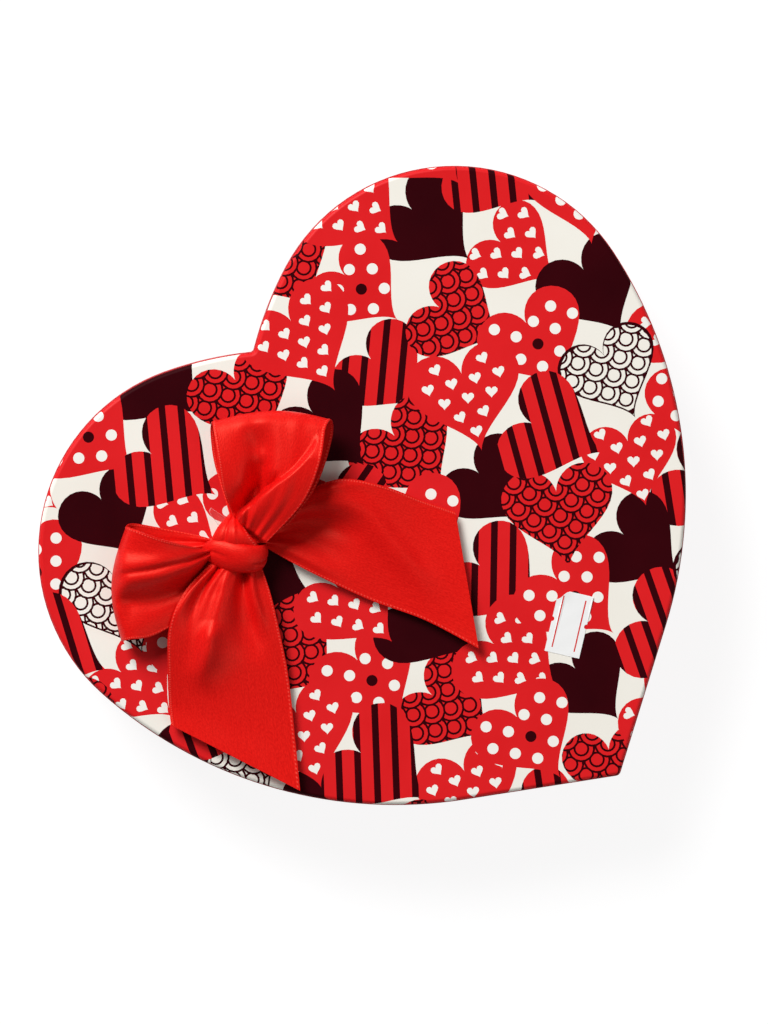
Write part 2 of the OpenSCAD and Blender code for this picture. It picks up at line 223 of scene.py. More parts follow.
def make_object(name, points, faces, materials, face_materials=None, uvs=None, normals=None, smooth=True):
    """A mesh object from points in millimetres."""
    mesh = bpy.data.meshes.new(name)
    mesh.from_pydata((np.asarray(points) * MM).tolist(), [], faces)
    for material in materials:
        mesh.materials.append(material)
    if face_materials is not None:
        mesh.polygons.foreach_set("material_index", np.asarray(face_materials, dtype=np.int32))
    mesh.polygons.foreach_set("use_smooth", [smooth] * len(mesh.polygons))
    if uvs is not None:
        layer = mesh.uv_layers.new(name="UVMap")
        corners = np.zeros(len(mesh.loops), dtype=np.int32)
        mesh.loops.foreach_get("vertex_index", corners)
        layer.data.foreach_set("uv", np.asarray(uvs, dtype=np.float32)[corners].ravel())
    if normals is not None:
        mesh.normals_split_custom_set_from_vertices([tuple(n) for n in normals])
    mesh.update()
    return add_object(name, mesh)


# Materials

# Noise: its grains along a metre, and their depth
PAPER_FIBRES = 1500
PAPER_CLOUDS = 45
PULP = 900
PULP_H = 0.06 * MM
FLECKS = 260
FILM_RIPPLES = 400
FILM_RIPPLE_H = 0.08 * MM
SATIN_GRAIN = (1250, 2100, 1)
SATIN_GRAIN_TURN = 33.0
SATIN_GRAIN_H = 0.09 * MM
SATIN_WEFT = (160, 2400, 1)
SATIN_WEFT_H = 0.02 * MM
SATIN_CLOUDS = (70, 70, 1)
# How much deeper red the satin's grain and weft add, and the stretch of the grain's noise that does
GRAIN_SHADE = (0.05, 0.57)
GRAIN_SPAN = (0.34, 0.66)
WEFT_SHADE = (0.0, 0.34)
# Roughness: the satin's, the inks' and the label's, and how far a paper's varies down and up
SATIN_ROUGH = (0.36, 0.44)
INK_ROUGH = 0.5
LABEL_ROUGH = 0.35
SMOOTHER = 0.05
ROUGHER = 0.06
# Half the width of a stitched thread, drawn in a lighter red that is partly a painted glint, where it is
# full and where it ends
THREAD_SPAN = (0.08 * MM, 0.34 * MM)


def rgb(red, green, blue):
    """A colour as a picture shows it, 0 to 255, in linear values."""
    def linear(c):
        c /= 255
        return c / 12.92 if c <= 0.04045 else ((c + 0.055) / 1.055) ** 2.4
    return (linear(red), linear(green), linear(blue), 1.0)


def feed(tree, socket, value):
    """Sets a socket to a value, or links it to another socket."""
    if isinstance(value, bpy.types.NodeSocket):
        tree.links.new(value, socket)
    else:
        socket.default_value = value


def add_node(tree, kind, **values):
    """A new node, with values for its properties and its sockets."""
    made = tree.nodes.new(kind)
    for key, value in values.items():
        if hasattr(made, key):
            setattr(made, key, value)
        else:
            feed(tree, made.inputs[key.replace("_", " ")], value)
    return made


class Finish:
    """A node material round one Principled shader, in object or UV space measured in metres."""

    def __init__(self, name, colour, roughness, **sockets):
        self.material = bpy.data.materials.new(name)
        self.material.use_nodes = True
        self.tree = self.material.node_tree
        self.shader = self.tree.nodes["Principled BSDF"].inputs
        for key, value in {"Base_Color": colour, "Roughness": roughness, **sockets}.items():
            self.shader[key.replace("_", " ")].default_value = value
        self.place = self.node("ShaderNodeTexCoord").outputs
        self.height = None

    def node(self, kind, **values):
        return add_node(self.tree, kind, **values)

    def noise(self, space, grains, turn=0.0, detail=3.0, rough=0.55):
        """Fractal noise, about 0.5, in Object or UV space, with so many grains along a metre."""
        scale = grains if isinstance(grains, tuple) else (grains,) * 3
        place = self.node("ShaderNodeMapping", Vector=self.place[space], Scale=scale,
                          Rotation=(0, 0, math.radians(turn)))
        return self.node("ShaderNodeTexNoise", Vector=place.outputs["Vector"], Detail=detail,
                         Roughness=rough, Scale=1.0).outputs["Fac"]

    def ranged(self, value, low, high, from_low=0.3, from_high=0.7):
        """Maps a value's middle stretch to low and high."""
        return self.node("ShaderNodeMapRange", Value=value, From_Min=from_low, From_Max=from_high,
                         To_Min=low, To_Max=high).outputs["Result"]

    def mix(self, factor, a, b):
        """A colour between two colours, or sockets, by factor."""
        made = self.node("ShaderNodeMix", data_type="RGBA")
        for key, value in (("Factor", factor), ("A", a), ("B", b)):
            feed(self.tree, [s for s in made.inputs if s.name == key and s.enabled][0], value)
        return [s for s in made.outputs if s.enabled][0]

    def math(self, kind, *values):
        """One arithmetic step on values or sockets."""
        made = self.node("ShaderNodeMath", operation=kind)
        for socket, value in zip(made.inputs, values):
            feed(self.tree, socket, value)
        return made.outputs[0]

    def colour(self, socket):
        feed(self.tree, self.shader["Base Color"], socket)

    def rough(self, socket):
        feed(self.tree, self.shader["Roughness"], socket)

    def bump(self, height, depth, strength=1.0):
        """Raises the surface by a height of 0 to 1 times depth in metres."""
        made = self.node("ShaderNodeBump", Height=height, Strength=strength, Distance=depth)
        if self.height is not None:
            feed(self.tree, made.inputs["Normal"], self.height)
        self.height = made.outputs["Normal"]
        feed(self.tree, self.shader["Normal"], self.height)


def paper(name, colour, shade, roughness, gloss=0.5, grain=0.012 * MM):
    """Covering paper: fine fibres, faint cloudiness and a soft, uneven gloss."""
    finish = Finish(name, colour, roughness, Specular_IOR_Level=gloss)
    fibres = finish.noise("Object", PAPER_FIBRES, detail=5)
    clouds = finish.noise("Object", PAPER_CLOUDS, detail=2)
    finish.colour(finish.mix(finish.ranged(clouds, 0.0, 1.0), colour, shade))
    finish.rough(finish.ranged(fibres, roughness - SMOOTHER, roughness + ROUGHER))
    finish.bump(fibres, grain)
    return finish.material


def board(name, colour, shade):
    """Grey board: pressed pulp with flecks."""
    finish = Finish(name, colour, 0.85, Specular_IOR_Level=0.2)
    pulp = finish.noise("Object", PULP, detail=6, rough=0.65)
    flecks = finish.noise("Object", FLECKS, detail=2)
    finish.colour(finish.mix(finish.ranged(flecks, 0.0, 1.0, 0.45, 0.68), colour, shade))
    finish.bump(pulp, PULP_H)
    return finish.material


def glinting_stitches(finish, width):
    """How much the lighter thread of the stitched line inside each selvedge shows, from 0 to 1: the real
    stitches, brightest at each bead's crest as a painted glint.
    """
    place = finish.node("ShaderNodeSeparateXYZ", Vector=finish.place["UV"]).outputs
    edge = finish.math("MINIMUM", place["Y"], finish.math("SUBTRACT", width * MM, place["Y"]))
    off_line = finish.math("ABSOLUTE", finish.math("SUBTRACT", edge, STITCH_IN * MM))
    line = finish.ranged(off_line, 1.0, 0.0, *THREAD_SPAN)
    # The beat brightens the thread at each bead's crest: painted glints on the real stitches
    turn = finish.math("MULTIPLY", place["X"], 2 * math.pi / (BEAD_PITCH * MM))
    beat = finish.ranged(finish.math("COSINE", turn), 0.0, 0.8, -0.3, 0.7)
    return finish.math("MULTIPLY", line, beat)


def satin(name, width, stitched=True):
    """Satin ribbon: a fine slanted grain, faint weft streaks and the selvedges' stitches, whose lighter
    thread colour is partly a painted glint.
    """
    # The thread colour is a paler red: the stitches' own thread, lightened further as a painted glint
    red, deep, thread_and_glint = rgb(246, 26, 22), rgb(206, 4, 7), rgb(252, 80, 68)
    finish = Finish(name, red, 0.4, Sheen_Weight=0.06, Sheen_Roughness=0.45, Sheen_Tint=rgb(255, 70, 60),
                    Specular_IOR_Level=0.95, Specular_Tint=rgb(255, 114, 92), Anisotropic=0.4)
    grain = finish.noise("UV", SATIN_GRAIN, turn=SATIN_GRAIN_TURN, detail=2, rough=0.6)
    weft = finish.noise("UV", SATIN_WEFT)
    clouds = finish.noise("UV", SATIN_CLOUDS, detail=2)
    grooves = finish.ranged(grain, *GRAIN_SHADE, *GRAIN_SPAN)
    cloth = finish.mix(finish.math("ADD", grooves, finish.ranged(weft, *WEFT_SHADE)), red, deep)
    if stitched:
        cloth = finish.mix(glinting_stitches(finish, width), cloth, thread_and_glint)
    finish.colour(cloth)
    finish.rough(finish.ranged(clouds, *SATIN_ROUGH))
    finish.bump(weft, SATIN_WEFT_H, 0.5)
    finish.bump(grain, SATIN_GRAIN_H, 0.8)
    tangent = finish.node("ShaderNodeTangent", direction_type="UV_MAP")
    feed(finish.tree, finish.shader["Tangent"], tangent.outputs["Tangent"])
    return finish.material


def clear_film(name, alpha):
    """Clear film, with ripples that catch the light."""
    finish = Finish(name, rgb(238, 236, 232), 0.2, Alpha=alpha, Specular_IOR_Level=0.2)
    finish.bump(finish.noise("Object", FILM_RIPPLES, detail=2), FILM_RIPPLE_H)
    return finish.material


CREAM = paper("print_cream", rgb(249, 245, 235), rgb(246, 241, 230), INK_ROUGH, gloss=0.35)
RED_INK = paper("print_red", rgb(229, 24, 29), rgb(222, 18, 23), INK_ROUGH, gloss=0.2)
MAROON_INK = paper("print_maroon", rgb(56, 2, 9), rgb(48, 1, 7), INK_ROUGH, gloss=0.04)
WHITE_INK = paper("print_white", rgb(251, 248, 241), rgb(248, 244, 236), INK_ROUGH, gloss=0.35)
RED_PAPER = paper("red_paper", rgb(205, 14, 26), rgb(196, 10, 21), 0.42, grain=0.02 * MM)
LINING = paper("lining_paper", rgb(243, 237, 222), rgb(238, 230, 212), 0.7, grain=0.03 * MM)
STAY_PAPER = paper("stay_paper", rgb(232, 222, 198), rgb(222, 210, 184), 0.75, grain=0.04 * MM)
GREYBOARD = board("greyboard", rgb(176, 170, 158), rgb(148, 141, 128))
LABEL_WHITE = paper("label_white", rgb(252, 252, 251), rgb(249, 249, 248), LABEL_ROUGH)
LABEL_RED = paper("label_red", rgb(226, 44, 38), rgb(220, 38, 33), LABEL_ROUGH)
SATIN = satin("satin_ribbon", RIBBON_W)
FILM = clear_film("adhesive_film", 0.04)
# The rim: the same film made far less clear, a painted highlight along the cut edge
FILM_RIM_GLINT = clear_film("adhesive_film_rim_glint", 0.5)


# Printed sheet over the lid: hearts with plain fillings on cream

# Inks, as places in the sheet's list of materials
BARE, RED, MAROON, WHITE = 0, 1, 2, 3
FILLINGS = ["dots", "scales", "plain", "blooms", "stripes"]
# Hearts: pitch along and between rows, number each way, stray, turn, least and greatest width
PRINT_SEED = 5
HEART_PITCH = (27.0, 23.5)
HEARTS_EACH_WAY = 5
HEART_STRAY = 2.5
HEART_TURN = 34.0
HEART_W = (30.0, 38.0)
HEART_POINTS = 56
# Rise that brings a heart's middle to its centre, as a share of half its width
HEART_RISE_SHARE = 0.12
# How much narrower the field of a pale heart is than its outline
PALE_LINE = 1.8
# Lattices: pitch along and between rows, and how far they reach past the heart
DOT_LATTICE = (7.2, 6.2, 2.0)
BLOOM_LATTICE = (7.6, 5.4, 2.0)
SCALE_LATTICE = (8.4, 4.2, 4.0)
PRINTED_DOT_R = 1.75
PRINTED_DOT_POINTS = 22
DOTS_TURN = 12.0
BLOOM_W = 3.9
BLOOM_TURN = 14.0
BLOOM_POINTS = 18
# A scale is two rings: the radii of their lines' outer and inner edges
SCALE_RADII = (4.3, 3.65, 2.5, 1.85)
SCALE_POINTS = 16
STRIPE_PITCH = 5.9
STRIPE_SHIFT = 1.4
STRIPE_W = 2.1
STRIPES_TURN = 38.0
STRIPES_EACH_WAY = 4


def heart_shape(centre, width, turn, count):
    """A plain heart of the given width, turned anticlockwise."""
    t = np.linspace(0, 2 * math.pi, count, endpoint=False)
    x = np.sin(t) ** 3
    y = (13 * np.cos(t) - 5 * np.cos(2 * t) - 2 * np.cos(3 * t) - np.cos(4 * t)) / 16 + HEART_RISE_SHARE
    return centre + width / 2 * rotated(np.stack([x, y], axis=1), turn)


def disc(centre, radius, count):
    a = np.linspace(0, 2 * math.pi, count, endpoint=False)
    return centre + radius * np.stack([np.cos(a), np.sin(a)], axis=1)


def lattice(centre, width, turn, pitch, row_pitch, margin):
    """Staggered places over a heart, each with its row and column."""
    across, up = axes(turn)
    rows = math.ceil(width / row_pitch / 2) + 1
    columns = math.ceil(width / pitch / 2) + 1
    for row in range(-rows, rows + 1):
        for column in range(-columns, columns + 1):
            x = (column + 0.5 * (row % 2)) * pitch
            y = row * row_pitch
            if math.hypot(x, y) < width / 2 + margin:
                yield centre + x * across + y * up, row, column


def filling(kind, centre, width, turn):
    """The shapes that fill one heart, each with its ink, lowest first."""
    if kind == "dots":
        for place, row, column in lattice(centre, width, turn + DOTS_TURN, *DOT_LATTICE):
            ink = MAROON if (2 * row + 3 * column) % 7 == 0 else WHITE
            yield disc(place, PRINTED_DOT_R, PRINTED_DOT_POINTS), ink
    elif kind == "blooms":
        for place, row, _ in lattice(centre, width, turn, *BLOOM_LATTICE):
            yield heart_shape(place, BLOOM_W, turn + BLOOM_TURN * (row % 3 - 1), BLOOM_POINTS), WHITE
    elif kind == "stripes":
        along_it, across_it = axes(turn + STRIPES_TURN)
        end, side = along_it * width, across_it * (STRIPE_W / 2)
        for i in range(-STRIPES_EACH_WAY, STRIPES_EACH_WAY + 1):
            middle = centre + across_it * (i * STRIPE_PITCH + STRIPE_SHIFT)
            yield np.array([middle - end - side, middle + end - side,
                            middle + end + side, middle - end + side]), MAROON
    elif kind in ("scales", "pale_scales"):
        ground = BARE if kind == "pale_scales" else RED
        for place, _, _ in lattice(centre, width, turn, *SCALE_LATTICE):
            for radius, ink in zip(SCALE_RADII, (MAROON, ground, MAROON, ground)):
                yield disc(place, radius, SCALE_POINTS), ink


def inside(shape, points):
    """Which points lie inside a closed shape."""
    (ax, ay), (bx, by) = shape.T, np.roll(shape, -1, axis=0).T
    x, y = points[:, 0, None], points[:, 1, None]
    with np.errstate(divide="ignore", invalid="ignore"):
        crossing = (ax - x) + (y - ay) * (bx - ax) / (by - ay) > 0
    return (crossing & ((ay > y) != (by > y))).sum(axis=1) % 2 == 1


def covered(shape, points):
    """As inside, for many points, most of them far from the shape."""
    near = ((points >= shape.min(axis=0)) & (points <= shape.max(axis=0))).all(axis=1)
    near[near] = inside(shape, points[near])
    return near


def touches(heart, shape):
    """Whether a filling's shape reaches into its heart."""
    return inside(heart, shape).any() or inside(shape, heart).any()


class Cutting:
    """Shapes and points in a plane, cut into triangles together."""

    def __init__(self):
        self.points = []
        self.edges = []

    def add(self, shape):
        first = len(self.points)
        self.points.extend(Vector(p) for p in shape)
        self.edges.extend((first + i, first + (i + 1) % len(shape)) for i in range(len(shape)))

    def within(self, border):
        """The points and triangles inside a border."""
        flat, _, triangles = delaunay_2d_cdt(self.points, self.edges, [], 0, SAME_POINT, False)[:3]
        flat = np.array([tuple(p) for p in flat])
        triangles = np.array([tuple(t) for t in triangles])
        triangles = triangles[covered(border, flat[triangles].mean(axis=1))]
        used = np.unique(triangles)
        return flat[used], np.searchsorted(used, triangles)


def printed_hearts():
    """Centre, width, turn and filling of each heart, lowest first."""
    draw = random.Random(PRINT_SEED)
    each_way = range(-HEARTS_EACH_WAY, HEARTS_EACH_WAY + 1)
    hearts = []
    for row in each_way:
        for column in each_way:
            x = (column + 0.5 * (row % 2)) * HEART_PITCH[0] + draw.uniform(-HEART_STRAY, HEART_STRAY)
            y = row * HEART_PITCH[1] + draw.uniform(-HEART_STRAY, HEART_STRAY)
            kind = FILLINGS[(2 * column + row) % len(FILLINGS)]
            if kind == "scales" and (row + column) % 4 == 3:
                kind = "pale_scales"
            width = draw.uniform(*HEART_W)
            turn = draw.uniform(-HEART_TURN, HEART_TURN)
            hearts.append((np.array([x, y]), width, turn, kind))
    draw.shuffle(hearts)
    return hearts


def print_layers(border):
    """The hearts that reach inside the border, lowest first: each one's shape and ink, its field
    and the field's ink, and the shapes in the field with theirs."""
    layers = []
    for centre, width, turn, kind in printed_hearts():
        heart = heart_shape(centre, width, turn, HEART_POINTS)
        if not touches(border, heart):
            continue
        pale = kind == "pale_scales"
        field = heart_shape(centre, width - PALE_LINE, turn, HEART_POINTS) if pale else heart
        whole = kind in ("dots", "blooms")
        parts = [(shape, ink) for shape, ink in filling(kind, centre, width, turn)
                 if (inside(heart, shape).all() if whole else touches(heart, shape))
                 and touches(border, shape)]
        ground = MAROON if pale or kind == "plain" else RED
        layers.append((heart, ground, field, BARE if pale else ground, parts))
    return layers


def printed_inks(layers, places):
    """The topmost ink at each place."""
    inks = np.full(len(places), BARE)
    for heart, ground, field, field_ink, parts in layers:
        inks[covered(heart, places)] = ground
        in_field = covered(field, places)
        inks[in_field] = field_ink
        for shape, ink in parts:
            inks[covered(shape, places) & in_field] = ink
    return inks


def printed_sheet():
    """The face paper: a flat top that turns down over the rounded edge, in one skin."""
    start = COVER_T + EDGE_R
    spread = ROUND_LENGTH + FACE_SHOW + HIDDEN_EDGE
    border = outline(start - spread)
    layers = print_layers(border)
    cutting = Cutting()
    cutting.add(border)
    for i in range(ROUND_STEPS + 1):
        cutting.add(outline(start - ROUND_LENGTH * i / ROUND_STEPS))
    for heart, _, field, _, parts in layers:
        cutting.add(heart)
        if field is not heart:
            cutting.add(field)
        for shape, _ in parts:
            cutting.add(shape)
    flat, triangles = cutting.within(border)
    inks = printed_inks(layers, flat[triangles].mean(axis=1))

    depth, outward = depth_and_outward(flat)
    turned = np.clip(start - depth, 0, None)
    angle = np.minimum(turned / EDGE_R, math.pi / 2)
    new_depth = np.where(turned > 0, start - EDGE_R * np.sin(angle), depth)
    place = flat + outward * (depth - new_depth)[:, None]
    height = LID_TOP - EDGE_R * (1 - np.cos(angle)) - np.maximum(0, turned - ROUND_LENGTH)
    outer = np.column_stack([place, height])
    normals = np.column_stack([outward * np.sin(angle)[:, None], np.cos(angle)])
    return closed_sheet(outer, triangles.tolist(), inks, normals, outward)


def closed_sheet(points, triangles, inks, normals, outward):
    """Adds the flange and the sheet's inner side, as rings that end in one flat face."""
    after = dict(open_sides(triangles))
    loop = [next(iter(after))]
    while after[loop[-1]] != loop[0]:
        loop.append(after[loop[-1]])
    rim, way = points[loop], outward[loop]
    steps = [(0.0, FLANGE_END), (COVER_T, FLANGE_END)]
    inner_r = EDGE_R - COVER_T
    for k in range(ROUND_STEPS + 1):
        a = math.pi / 2 * (1 - k / ROUND_STEPS)
        inset = COVER_T + inner_r * (1 - math.sin(a))
        steps.append((inset, LID_TOP - COVER_T - inner_r * (1 - math.cos(a))))
    count, first = len(loop), len(points)
    rings, ring_normals = [points], [normals]
    for inset, z in steps:
        rings.append(np.column_stack([rim[:, :2] - way * inset, np.full(count, z)]))
        ring_normals.append(np.column_stack([way * (1 if inset == 0 else -1), np.zeros(count)]))
    ring_normals[-1] = np.tile([0.0, 0.0, -1.0], (count, 1))

    def at(ring, i):
        return loop[i % count] if ring == 0 else first + (ring - 1) * count + i % count

    faces = [[at(r, i + 1), at(r, i), at(r + 1, i), at(r + 1, i + 1)]
             for r in range(len(steps)) for i in range(count)]
    faces.append([at(len(steps), i) for i in reversed(range(count))])
    inks = np.concatenate([inks, np.full(len(faces), BARE)])
    return np.concatenate(rings), triangles + faces, inks, np.concatenate(ring_normals)


def face_paper():
    points, faces, inks, normals = printed_sheet()
    obj = make_object("printed_face", points, faces, [CREAM, RED_INK, MAROON_INK, WHITE_INK],
                      inks, normals=normals)
    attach(obj, "lid")
    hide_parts("lid_face_paper")


# Bow, in its own frame: x to the right of the picture, y up and z off the lid

# Each row is a line across a ribbon, from the knot outwards: the places of its left and of its right
# edge ahead, aside and off the lid, in per cent of the ribbon's reach, width and rise. A loop's rows
# end with how far the middle bows ahead, in per cent of the reach.
UPPER_LOOP = [
    [12, 5, 34, 8, -14, 36, 0],
    [32, 18, 24, 24, -36, 36, 0],
    [58, 34, 10, 60, -52, 28, 0],
    [80, 43, 14, 98, -55, 22, 3],
    [88, 44, 42, 112, -51, 50, 8],
    [84, 42, 74, 106, -47, 86, 5],
    [62, 32, 90, 80, -49, 92, 0],
    [40, 22, 84, 46, -44, 84, 0],
    [22, 8, 62, 8.4, -23.5, 66, 0]]
LEFT_LOOP = [
    [17, 10, 14, 19, -6, 26, 0],
    [38, 34, 5, 38, -12, 12, 0],
    [62, 56, 4, 64, -19, 8, 0],
    [86, 66, 6, 80, -23, 18, 4],
    [96, 72, 28, 86, -22, 46, 10],
    [90, 71, 62, 82, -20, 90, 7],
    [70, 69, 50, 60, -10, 102, 2],
    [44, 53, 37, 40, -3, 84, 0],
    [20, 14, 30, 24, 2, 50, 0]]
RIGHT_TAIL = [
    [10, 16, 45, 12, 2, 45],
    [22, 46, 50, 24, -7, 65],
    [38, 66, 65, 40, -17, 55],
    [56, 67, 80, 60, -28, 35],
    [74, 60, 45, 84, -37, 45],
    [89, 55, 50, 108, -53, 65]]
LOWER_TAIL = [
    [9, 20, 90, 6, -16, 100],
    [22, 28, 90, 21, -42, 150],
    [38, 35, 75, 38, -55, 150],
    [60, 43, 50, 57, -56, 95],
    [90, 49, 45, 73, -55, 50],
    [113, 53, 70, 83, -53, 60]]

# Folds pressed into each ribbon: height, width before and after the fold's line in per cent of the
# ribbon's, and that line as places along and across the ribbon in per cent
UPPER_FOLDS = [
    (3.2, 3, 80, [(70, 95), (78, 80), (81, 71), (85, 55), (90, 41), (95.5, 23), (98.5, 14)]),
    (-3.2, 16, 11, [(67, 41), (76, 43), (84, 42), (87, 38)]),
    (-4.6, 12, 7, [(78, 43), (84, 42), (88, 38)]),
    (-6.4, 20, 2.5, [(83, 60), (85, 51.5), (90, 37.5), (95.5, 20), (98.5, 12)]),
    (1.4, 12, 12, [(6, 35), (20, 30), (34, 32)]),
    (-1.2, 10, 12, [(6, 66), (22, 68), (36, 70)])]
LEFT_FOLDS = [
    (1.5, 6, 10, [(58, 64), (65.5, 66), (76, 77), (86, 82), (100, 88)]),
    (-0.5, 3, 3, [(63, 60), (69, 65), (81, 75), (93, 79)]),
    (2.2, 13, 8, [(62, 51), (73, 60), (85.5, 67), (93, 65), (100, 58)]),
    (-3.0, 18, 14, [(62, 35), (73, 40), (85.5, 43), (93, 38), (100, 34)]),
    (2.4, 11, 11, [(5, 34), (22, 32), (48, 38)]),
    (1.6, 9, 9, [(5, 74), (22, 74), (44, 72)])]
RIGHT_FOLDS = [
    (2.2, 16, 14, [(5, 20), (20, 20), (35, 22), (48, 24)]),
    (-2.4, 12, 16, [(5, 46), (23, 42), (33, 44), (46, 46)]),
    (2.0, 12, 20, [(34, 6), (44, 15), (57, 28), (69, 48), (80, 62)]),
    (1.2, 5, 6, [(28, 6), (39, 6), (52, 3)]),
    (1.1, 12, 7, [(0, 76), (14, 82), (29, 87), (42, 90)]),
    (-0.9, 10, 10, [(14, 62), (30, 68), (46, 72)])]
LOWER_FOLDS = [
    (2.4, 18, 10, [(0, 62), (8, 62), (19.5, 54), (30, 55.5), (43.5, 60), (53, 64), (62, 70)]),
    (1.9, 9, 10, [(40, 62), (50, 66), (60, 72)]),
    (-2.5, 9, 18, [(0, 36), (10, 33), (20, 31), (34, 28), (48, 25)]),
    (1.7, 5, 6, [(0, 24), (5, 22), (20, 20), (36, 15.5)]),
    (1.0, 5, 4, [(6, 88), (20, 93), (33, 95)]),
    (-1.2, 6, 5, [(5, 80), (20, 80), (36, 82)])]

# Ribbons: piece, CAD node, tables, reach, direction, steps, flat length and whether it is a loop
RIBBONS = [
    ("bow_upper_loop", "bow_loop_upper", UPPER_LOOP, UPPER_FOLDS, 40, 76, 330, 96.5, True),
    ("bow_left_loop", "bow_loop_left", LEFT_LOOP, LEFT_FOLDS, 39, 184, 320, 82, True),
    ("bow_right_tail", "bow_tail_right", RIGHT_TAIL, RIGHT_FOLDS, 74, -9, 280, 73.5, False),
    ("bow_lower_tail", "bow_tail_lower", LOWER_TAIL, LOWER_FOLDS, 68, -90, 260, 67.5, False)]

# Places across a ribbon, closer together along its beaded selvedges
SELVEDGE_SHARES = np.array([0, 4, 8, 12, 16, 20, 26, 34, 44, 56]) / 1000
ACROSS_SHARES = np.concatenate([SELVEDGE_SHARES, np.linspace(0.07, 0.93, 62), 1 - SELVEDGE_SHARES[::-1]])
# How long a fold takes to rise and to fall, as shares of the ribbon's run
FOLD_RISE_SHARE = 0.10
FOLD_FALL_SHARE = 0.22
# Steps of a ribbon for each step in the averages of its rows and of its folds
ROW_EVENNESS = 30
FOLD_EVENNESS = 25
# Gathers beside the knot: height, reach, and waves as share, number and phase
GATHER_H = 1.5
GATHER_REACH = 8.5
GATHER_WAVES = ((1.0, 4.0, 0.7), (0.5, 6.3, 2.1))
# A loop's front end is gathered less, and over half the reach
FRONT_GATHER_SHARE = 0.4
# Ends in the knot: how far they run on to its middle, height there at most, and how soon they sink
TUCK_SHARE = 0.5
TUCK_H = 6.0
TUCK_STEPS = 14
TUCK_SINK = 2.2
# Lowest place of a ribbon's middle above the lid
LIE_CLEAR = 0.32


def along(table, u):
    """Smooth curve through the rows of a table, u from 0 to 1."""
    rows = np.array(table, dtype=float)
    x = np.asarray(u) * (len(rows) - 1)
    i = np.minimum(np.floor(x).astype(int), len(rows) - 2)
    t = (x - i)[:, None]
    a, b = rows[np.maximum(i - 1, 0)], rows[i]
    c, d = rows[i + 1], rows[np.minimum(i + 2, len(rows) - 1)]
    squared, cubed = 2 * a - 5 * b + 4 * c - d, 3 * b - a - 3 * c + d
    return (2 * b + (c - a) * t + squared * t ** 2 + cubed * t ** 3) / 2


def smoothed(values, radius):
    """A running average along the first axis that keeps the ends in place."""
    weights = np.hanning(2 * radius + 3)[1:-1]
    weights /= weights.sum()
    first = 2 * values[:1] - values[radius:0:-1]
    last = 2 * values[-1:] - values[-2:-radius - 2:-1]
    padded = np.concatenate([first, values, last])
    return np.stack([np.convolve(column, weights, mode="valid") for column in padded.T], axis=1)


def bell(x, before, after):
    """A rounded bump about zero, with one width before it and another after it."""
    return np.exp(-(x / np.where(x < 0, before, after)) ** 2)


def faded(u, start, end):
    """One between start and end, easing to nothing outside, except at the ribbon's own ends."""
    rise = fall = np.ones(len(u))
    if start > 0:
        rise = np.clip((u - start + FOLD_RISE_SHARE / 2) / FOLD_RISE_SHARE, 0, 1)
    if end < 1:
        fall = np.clip((end + FOLD_FALL_SHARE / 2 - u) / FOLD_FALL_SHARE, 0, 1)
    step = rise * fall
    return step * step * (3 - 2 * step)


def fold_height(u, fold, evening):
    """How far one fold lifts or presses a ribbon, at the places u along it."""
    height, before, after, route = fold
    route = np.array(route) / 100
    middle = smoothed(np.interp(u, route[:, 0], route[:, 1])[:, None], evening)
    fade = faded(u, route[0, 0], route[-1, 0])[:, None]
    return height * fade * bell(ACROSS_SHARES[None, :] - middle, before / 100, after / 100)


def surface_normals(grid):
    n = np.cross(np.gradient(grid, axis=0), np.gradient(grid, axis=1))
    return n / np.maximum(np.linalg.norm(n, axis=2, keepdims=True), LEAST)


def tucked(end):
    """Rows that carry a ribbon's end on into the knot, below its wraps."""
    t = np.arange(1, TUCK_STEPS + 1)[:, None] / TUCK_STEPS
    rows = np.repeat(end[None], TUCK_STEPS, axis=0)
    rows[:, :, :2] *= (1 - TUCK_SHARE * t)[:, :, None]
    rows[:, :, 2] += np.minimum(0, TUCK_H - rows[:, :, 2]) * np.minimum(1, TUCK_SINK * t)
    return rows


def ribbon_grid(table, folds, reach, direction, steps, is_loop):
    """A ribbon's middle surface, with its folds, gathers and tucked ends."""
    u, v = np.linspace(0, 1, steps + 1), ACROSS_SHARES
    rows = smoothed(along(np.array(table) / 100, u), steps // ROW_EVENNESS)
    size = np.array([reach, RIBBON_W, LOOP_RISE if is_loop else TAIL_RISE])
    left, right = rows[:, None, 0:3] * size, rows[:, None, 3:6] * size
    grid = left + (right - left) * v[None, :, None]
    for fold in folds:
        grid[:, :, 2] += fold_height(u, fold, steps // FOLD_EVENNESS)
    ends = np.exp(-u * reach / GATHER_REACH)
    if is_loop:
        grid[:, :, 0] += rows[:, 6:7] * reach * np.sin(math.pi * v)[None, :]
        ends = ends + FRONT_GATHER_SHARE * np.exp(-(1 - u) * reach * 2 / GATHER_REACH)
    gather = sum(share * np.cos(2 * math.pi * number * v + phase) for share, number, phase in GATHER_WAVES)
    grid[:, :, 2] += GATHER_H * ends[:, None] * (gather * np.sin(math.pi * v))[None, :]
    grid[:, :, 2] = np.maximum(grid[:, :, 2], LIE_CLEAR)
    grid = np.concatenate([tucked(grid[0])[::-1], grid])
    if is_loop:
        grid = np.concatenate([grid, tucked(grid[-1])])
    grid = rotated(grid, direction)
    grid[:, :, 2] += RIBBON_T
    return grid


def on_lid(points):
    """Turns and moves points of the bow onto the lid."""
    return rotated(points, -BOW_TURN) + np.array([-BOW_LEFT, BOW_UP, LID_TOP])


